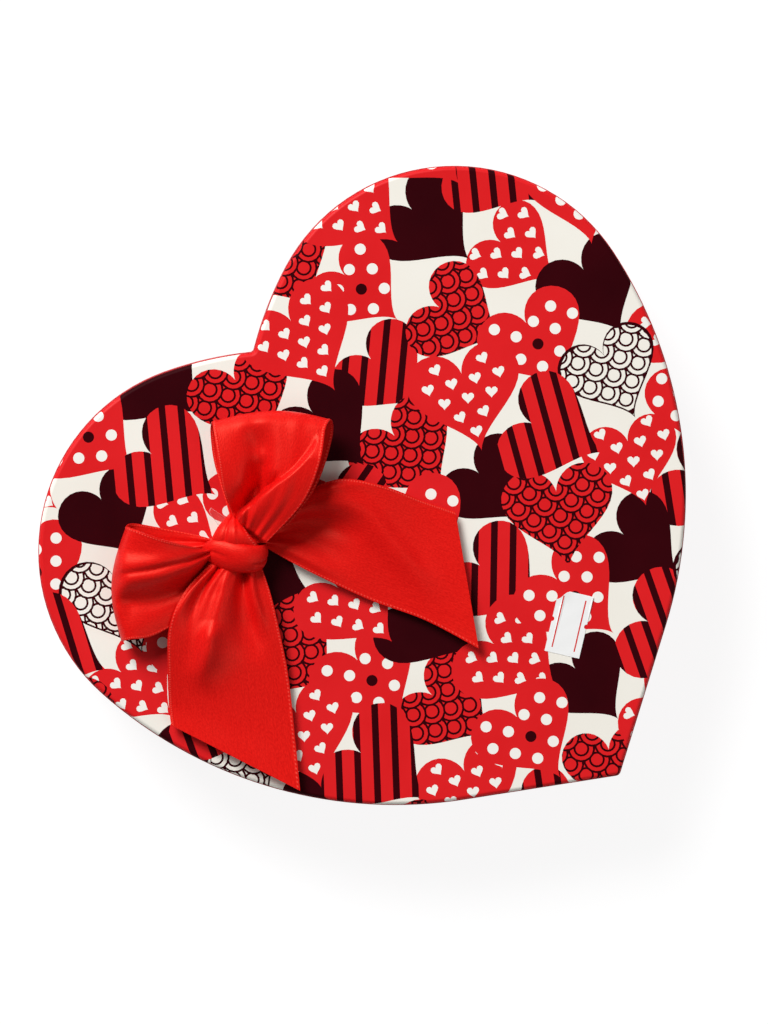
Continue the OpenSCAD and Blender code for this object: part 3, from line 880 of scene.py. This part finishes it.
def cloth_strip(name, grid, width, material, beaded=True):
    """A closed strip about a grid, with a beaded selvedge along both edges."""
    v = ACROSS_SHARES
    middle = grid[:, len(v) // 2]
    run = np.concatenate([[0], np.cumsum(np.linalg.norm(np.diff(middle, axis=0), axis=1))])
    half = np.full(grid.shape[:2], RIBBON_T / 2)
    if beaded:
        beat = 0.5 + 0.5 * np.cos(2 * math.pi * run / BEAD_PITCH)
        edge = np.minimum(v, 1 - v) * width
        stitch = np.exp(-((edge - STITCH_IN) / STITCH_W) ** 2)
        half = half + BEAD_H * beat[:, None] * stitch[None, :]
    raised = surface_normals(grid) * half[:, :, None]
    points = np.concatenate([(grid + raised).reshape(-1, 3), (grid - raised).reshape(-1, 3)])
    uv = np.stack(np.meshgrid(run * MM, v * width * MM, indexing="ij"), axis=-1).reshape(-1, 2)
    top, low = np.arange(len(points)).reshape(2, len(run), len(v))

    def quads(*corners):
        return np.stack([corner.ravel() for corner in corners], axis=1)

    faces = np.concatenate([
        quads(top[:-1, :-1], top[1:, :-1], top[1:, 1:], top[:-1, 1:]),
        quads(low[:-1, :-1], low[:-1, 1:], low[1:, 1:], low[1:, :-1]),
        quads(top[:-1, 0], low[:-1, 0], low[1:, 0], top[1:, 0]),
        quads(top[:-1, -1], top[1:, -1], low[1:, -1], low[:-1, -1]),
        quads(top[0, :-1], top[0, 1:], low[0, 1:], low[0, :-1]),
        quads(top[-1, :-1], low[-1, :-1], low[-1, 1:], top[-1, 1:])])
    return make_object(name, on_lid(points), faces.tolist(), [material], uvs=np.concatenate([uv, uv]))


def bow():
    for name, node, table, folds, reach, direction, steps, flat, is_loop in RIBBONS:
        grid = ribbon_grid(table, folds, reach, direction, steps, is_loop)
        obj = cloth_strip(name, grid, RIBBON_W, SATIN)
        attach(obj, "lid")
        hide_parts(node)


# Knot: a core of gathered ribbon and two wraps over it

# The core: radius every 30 degrees as shares of the ribbon's width, all drawn in by one share, height,
# how soon the sides turn in, least radius at the top, and creases as depth share, number and phase
CORE_OUTLINE_SHARES = np.array([262, 205, 225, 232, 232, 245, 265, 245, 222, 245, 258, 270, 262]) / 1000
CORE_SHARE = 0.80
CORE_H = 8.6
CORE_DOME = 2.6
CORE_TOP_SHARE = 0.12
CORE_CREASES = ((0.05, 9, 0.6), (0.03, 17, 0.0))
CORE_TURNS = 96
CORE_STEPS = 20
WRAP_STEPS = 120
# Steps each side in the averages of a wrap's rows and of its folds
WRAP_ROW_EVENING = 4
WRAP_FOLD_EVENING = 6
# How soon a wrap's section flattens behind its edges: less is flatter
WRAP_ROUND = 0.45
# Each row: a wrap's left edge and its right edge, seen along it, and how far its middle swells out
FRONT_WRAP = [
    [-8.2, 0.8, 0.8, -8.4, -4.0, 0.6, 0.4],
    [-9.6, 0.2, 3.8, -9.6, -3.6, 3.0, 1.0],
    [-7.4, 1.6, 6.4, -7.7, -5.4, 4.8, 1.8],
    [-3.8, 1.6, 7.8, -4.3, -7.2, 5.4, 2.4],
    [0.0, 0.9, 8.6, 0.0, -8.2, 6.6, 2.6],
    [3.8, 0.1, 8.8, 4.0, -8.3, 6.4, 2.5],
    [7.2, -0.2, 7.6, 7.2, -7.6, 5.4, 1.8],
    [9.0, 0.2, 4.8, 8.5, -5.6, 3.0, 1.0],
    [8.2, 1.0, 0.8, 7.8, -4.0, 0.6, 0.4]]
BACK_WRAP = [
    [0.8, 9.4, 2.2, -1.8, 9.8, 1.6, 0.3],
    [1.2, 7.2, 6.2, -3.6, 7.6, 4.6, 1.0],
    [2.6, 5.0, 8.4, -5.8, 5.1, 6.0, 1.7],
    [4.3, 2.8, 9.2, -7.2, 2.7, 6.2, 2.0],
    [6.2, 0.8, 8.4, -8.5, 0.7, 5.2, 2.0],
    [7.0, -1.6, 6.2, -8.2, -1.6, 3.4, 1.6]]
FRONT_FOLDS = [
    (-0.3, 7, 12, [(12, 50), (30, 44), (42, 48)]),
    (-0.6, 5, 8, [(68, 66), (82, 62), (100, 60)])]
BACK_FOLDS = [
    (0.3, 6, 10, [(0, 30), (40, 34), (70, 40), (100, 42)]),
    (-0.4, 6, 8, [(0, 52), (40, 60), (70, 66), (100, 70)])]
# Each wrap's piece, tables, greatest width and run of its outer layer, which is all that is made of
# it, mean width as a share of the greatest, and whether its stitches show
WRAPS = [
    ("bow_knot_front_wrap", FRONT_WRAP, FRONT_FOLDS, 12.0, 34.0, 0.73, False),
    ("bow_knot_back_wrap", BACK_WRAP, BACK_FOLDS, 16.6, 18.2, 0.68, True)]


def wrap(name, rows, folds, width, run, taper, stitched):
    """One turn of ribbon over the knot, as a strip with fine creases along it."""
    u, v = np.linspace(0, 1, WRAP_STEPS + 1), ACROSS_SHARES
    table = smoothed(along(rows, u), WRAP_ROW_EVENING)
    left, right = table[:, None, 0:3], table[:, None, 3:6]
    grid = left + (right - left) * v[None, :, None]
    out = surface_normals(grid)
    out *= np.sign(out[WRAP_STEPS // 2, len(v) // 2, 2])
    swell = table[:, 6:7] * np.sin(math.pi * v)[None, :] ** WRAP_ROUND
    for fold in folds:
        swell = swell + fold_height(u, fold, WRAP_FOLD_EVENING)
    grid = grid + out * swell[:, :, None]
    grid[:, :, 2] += DOT_T
    obj = cloth_strip(name, grid, width, satin(name, width, stitched), beaded=stitched)
    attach(obj, "lid")


def knot():
    """The gathered core of the bow and the two wraps over it."""
    around = np.linspace(0, 1, CORE_TURNS, endpoint=False)
    ring = along(CORE_OUTLINE_SHARES[:, None], around)[:, 0]
    points = []
    for k in range(CORE_STEPS + 1):
        h = math.sin(math.pi / 2 * k / CORE_STEPS)
        dome = CORE_TOP_SHARE + (1 - CORE_TOP_SHARE) * math.sqrt(max(0.0, 1 - h ** CORE_DOME))
        for j in range(CORE_TURNS):
            a = 2 * math.pi * j / CORE_TURNS
            crease = 1.0
            for depth, number, phase in CORE_CREASES:
                crease -= depth * math.cos(number * a + phase)
            r = RIBBON_W * ring[j] * CORE_SHARE * crease * dome
            points.append([r * math.cos(a), r * math.sin(a), DOT_T + CORE_H * h])
    faces = tube_faces(CORE_STEPS + 1, CORE_TURNS)
    faces.append([CORE_TURNS - 1 - j for j in range(CORE_TURNS)])
    faces.append([CORE_STEPS * CORE_TURNS + j for j in range(CORE_TURNS)])
    uvs = [[p[0] * MM, p[1] * MM] for p in points]
    core = make_object("bow_knot_core", on_lid(np.array(points)), faces, [SATIN], uvs=uvs)
    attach(core, "lid")
    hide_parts("bow_knot")
    for values in WRAPS:
        wrap(*values)


# Clear adhesive dot under the knot, with a wedge-shaped tab that lifts off the lid beside it

DOT_R = 6.5
DOT_POINTS = 49
DOT_SINK = 0.02
# The tab's direction from the knot's middle, and how far from it the dot's edge stops and goes on
TAB_DIR = 128.0
DOT_OPEN_BEFORE = 21.0
DOT_OPEN_AFTER = 8.0
# The tab's edge from its lower side round its end, as distance from the knot and sideways
TAB_EDGE = [(6.6, -2.4), (8.1, -2.64), (13.85, -0.8), (13.4, 0.2), (12.0, 0.62), (8.3, 0.73), (6.8, 0.8)]
# How high the tab lifts, how far out it does so, and how late: more is later
TAB_LIFT = 1.1
TAB_REACH = 7.0
TAB_BEND = 1.5
FILM_T = 0.16
# Width of the rim band, whose paler film is a painted highlight along the cut edge
GLINT_RIM_W = 0.14


def film_outline(inset):
    """The dot's edge with its tab, anticlockwise, moved inwards by a small inset."""
    start, end = TAB_DIR + DOT_OPEN_AFTER, TAB_DIR + 360 - DOT_OPEN_BEFORE
    arc = np.radians(np.linspace(start, end, DOT_POINTS))
    dot = np.stack([np.cos(arc), np.sin(arc)], axis=1) * (DOT_R - inset)
    edge = np.array(TAB_EDGE)
    middle = edge.mean(axis=0)
    drawn_in = edge - (edge - middle) * inset / np.linalg.norm(edge - middle, axis=1)[:, None]
    return np.concatenate([dot, rotated(drawn_in, TAB_DIR)])


def adhesive_dot():
    """A thick dot under the knot that thins into a film tab, with a rim band of paler film that paints a
    highlight along its cut edge.
    """
    outer, inner = film_outline(0.0), film_outline(GLINT_RIM_W)
    count = len(outer)
    way, _ = axes(TAB_DIR)

    def raised(flat, top):
        lift = np.clip((flat @ way - DOT_R) / TAB_REACH, 0, 1) ** TAB_BEND * TAB_LIFT
        thick = np.where(np.linalg.norm(flat, axis=1) < DOT_R + GLINT_RIM_W, DOT_T, FILM_T)
        return np.column_stack([flat, lift + (thick if top else DOT_SINK)])

    rings = [raised(outer, False), raised(outer, True), raised(inner, True)]
    faces = tube_faces(len(rings), count)
    # rim: the band along the edge that carries the painted highlight
    film, rim = 0, 1
    films = [rim] * len(faces) + [film, film]
    faces += [[2 * count + i for i in range(count)], [count - 1 - i for i in range(count)]]
    obj = make_object("adhesive_film_dot", on_lid(np.concatenate(rings)), faces, [FILM, FILM_RIM_GLINT], films)
    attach(obj, "lid")
    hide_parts("bow_adhesive_dot")


# Price sticker: a bare white label with two red lines, nicked half way along both long sides

STICKER_LEN = 19.8
STICKER_W = 11.1
STICKER_T = 0.12
STICKER_STEP = 0.6
# Place of its middle on the lid, and its turn
STICKER_RIGHT = 19.0
STICKER_DOWN = 50.0
STICKER_TURN = 36.0
# The nicks, and how far right of the middle they lie
NICK_R = 0.75
NICK_POINTS = 9
LOWER_NICK = 0.25
UPPER_NICK = 0.4
# The torn corner's points, as distances from the label's end and shares of its width up
TORN_CORNER = [(0.0, 0.18), (0.5, 0.26), (1.3, 0.32), (2.2, 0.37), (3.0, 0.45), (3.3, 0.5)]
# The red lines' width, and the shares of the label's length and width at which they end and lie
LINE_W = 0.42
LINE_END_SHARE = 0.415
LINE_SIDE_SHARE = 0.318
# Height and reach of the curls at the torn corner and below it, and the label's ripples
CURL_H = 0.9
CURL_REACH = 5.5
LOW_CURL_H = 0.35
LOW_CURL_REACH = 3.5
RIPPLE_H = 0.02
RIPPLE_TURNS = (0.9, 0.7)


def sticker_outline():
    """The label's edge: a rounded nick half way along each long side and one torn corner."""
    half_l, half_w = STICKER_LEN / 2, STICKER_W / 2

    def nick(x, side):
        a = np.linspace(0, math.pi, NICK_POINTS)
        return [(x - side * NICK_R * math.cos(t), side * (half_w - NICK_R * math.sin(t))) for t in a]

    lower = [(-half_l, -half_w)] + nick(LOWER_NICK, -1) + [(half_l, -half_w)]
    torn = [(half_l - off, share * STICKER_W) for off, share in TORN_CORNER]
    upper = nick(UPPER_NICK, 1)[::-1] + [(-half_l, half_w)]
    return np.array(lower + torn + upper)


def curl(flat, corner, reach, height):
    """How far the label lifts towards one corner."""
    return np.clip(1 - np.linalg.norm(flat - corner, axis=1) / reach, 0, 1) ** 2 * height


def sticker():
    edge = sticker_outline()
    cutting = Cutting()
    cutting.add(edge)
    bands = []
    for side in (-1, 1):
        x, y, half = LINE_END_SHARE * STICKER_LEN, side * LINE_SIDE_SHARE * STICKER_W, LINE_W / 2
        bands.append(np.array([(-x, y - half), (x, y - half), (x, y + half), (-x, y + half)]))
        cutting.add(bands[-1])
    for x in np.arange(-STICKER_LEN / 2 + STICKER_STEP, STICKER_LEN / 2, STICKER_STEP):
        for y in np.arange(-STICKER_W / 2 + STICKER_STEP, STICKER_W / 2, STICKER_STEP):
            cutting.points.append(Vector((x, y)))
    flat, triangles = cutting.within(edge)
    inks = np.full(len(triangles), BARE)
    for band in bands:
        inks[covered(band, flat[triangles].mean(axis=1))] = RED
    corner = np.array([STICKER_LEN / 2, STICKER_W / 2])
    lift = curl(flat, corner, CURL_REACH, CURL_H)
    low_lift = curl(flat, corner * (1, -1), LOW_CURL_REACH, LOW_CURL_H)
    wave = np.sin(flat[:, 0] * RIPPLE_TURNS[0]) * np.sin(flat[:, 1] * RIPPLE_TURNS[1] + 1)
    z = LID_TOP + lift + low_lift + RIPPLE_H * (1 + wave)
    place = rotated(flat, STICKER_TURN) + np.array([STICKER_RIGHT, -STICKER_DOWN])
    under = np.column_stack([place, z])
    over = under + [0, 0, STICKER_T]
    count = len(flat)
    rim = [[b + count, a + count, a, b] for a, b in open_sides(triangles.tolist())]
    faces = triangles[:, ::-1].tolist() + (triangles + count).tolist() + rim
    inks = [BARE] * len(triangles) + inks.tolist() + [BARE] * len(rim)
    obj = make_object("price_label", np.concatenate([under, over]), faces, [LABEL_WHITE, LABEL_RED], inks,
                      smooth=False)
    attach(obj, "lid")
    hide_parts("price_sticker")


# Boards, papers and linings that keep their CAD shape

CARRIED_OVER = (
    (GREYBOARD, ("base_floor_board", "base_wall_board", "lid_top_board", "lid_rim_board")),
    (STAY_PAPER, ("base_corner_tape", "lid_corner_tape")),
    (RED_PAPER, ("base_wall_paper", "base_bottom_paper", "lid_rim_paper")),
    (LINING, ("base_wall_liner", "base_floor_liner", "lid_top_liner")))


def carried_over():
    for material, nodes in CARRIED_OVER:
        for node in nodes:
            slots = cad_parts[node].data.materials
            slots.clear()
            slots.append(material)


# Stage

# The floor to the camera, a base that shade doesn't reach and the rest, and its grey to the box
FLOOR_BASE = 0.88
FLOOR_REST = 0.20
FLOOR_GREY = 0.75
FLOOR_HALF = 6000.0
# The floor lies a hair below the box, so that their faces don't coincide
FLOOR_DROP = 0.05
# Lamps: direction to the right, up and out of the picture, distance and size in metres, and watts
KEY_LIGHT = ((-0.55, 0.80, 0.80), 3.5, 1.5, 140)
FILL_LIGHT = ((0.75, -0.45, 0.95), 1.6, 1.0, 3.5)
WORLD_STRENGTH = 0.16


def floor():
    """A pale floor that shows white to the camera and keeps the box's shadow."""
    material = bpy.data.materials.new("floor")
    material.use_nodes = True
    tree = material.node_tree
    tree.nodes.clear()
    rest, grey = [add_node(tree, "ShaderNodeBsdfDiffuse", Color=(share, share, share, 1)).outputs[0]
                  for share in (FLOOR_REST, FLOOR_GREY)]
    base = add_node(tree, "ShaderNodeEmission", Strength=FLOOR_BASE).outputs[0]
    is_camera = add_node(tree, "ShaderNodeLightPath").outputs["Is Camera Ray"]
    seen = add_node(tree, "ShaderNodeAddShader")
    choice = add_node(tree, "ShaderNodeMixShader")
    for socket, source in zip(seen.inputs, (rest, base)):
        feed(tree, socket, source)
    for socket, source in zip(choice.inputs, (is_camera, grey, seen.outputs[0])):
        feed(tree, socket, source)
    add_node(tree, "ShaderNodeOutputMaterial", Surface=choice.outputs[0])
    half, z = FLOOR_HALF, -FLOOR_DROP
    corners = [[-half, -half, z], [half, -half, z], [half, half, z], [-half, half, z]]
    make_object("floor", corners, [[0, 1, 2, 3]], [material])


def picture_axes():
    roll = math.radians(CAMERA_ROLL)
    right = Vector((math.cos(roll), -math.sin(roll), 0))
    up = Vector((math.sin(roll), math.cos(roll), 0))
    return right, up


def camera():
    data = bpy.data.cameras.new("camera")
    data.sensor_width = SENSOR
    data.lens = SENSOR * CAMERA_AWAY / VIEW_HEIGHT
    data.clip_end = CAMERA_SEES
    obj = add_object("camera", data)
    lean = math.radians(CAMERA_LEAN)
    back = Vector((0, math.sin(lean), math.cos(lean)))
    right = picture_axes()[1].cross(back).normalized()
    turn = Matrix((right, back.cross(right), back)).transposed().to_4x4()
    obj.matrix_world = Matrix.Translation(LOOK_AT + back * CAMERA_AWAY) @ turn
    bpy.context.scene.camera = obj


def area_light(name, direction, distance, size, power):
    """A soft square lamp that faces the lid."""
    right, up = picture_axes()
    way = (right * direction[0] + up * direction[1] + Vector((0, 0, direction[2]))).normalized()
    data = bpy.data.lights.new(name, "AREA")
    data.shape = "SQUARE"
    data.size = size
    data.energy = power
    obj = add_object(name, data)
    obj.location = LOOK_AT + way * distance
    obj.rotation_mode = "QUATERNION"
    obj.rotation_quaternion = way.to_track_quat("Z", "Y")


def lights():
    area_light("key", *KEY_LIGHT)
    area_light("fill", *FILL_LIGHT)
    world = bpy.data.worlds.new("world")
    world.use_nodes = True
    sky = world.node_tree.nodes["Background"].inputs
    sky["Color"].default_value = (1, 1, 1, 1)
    sky["Strength"].default_value = WORLD_STRENGTH
    bpy.context.scene.world = world
    bpy.context.scene.view_settings.view_transform = "Standard"


camera()
lights()
floor()
carried_over()
face_paper()
knot()
bow()
adhesive_dot()
sticker()
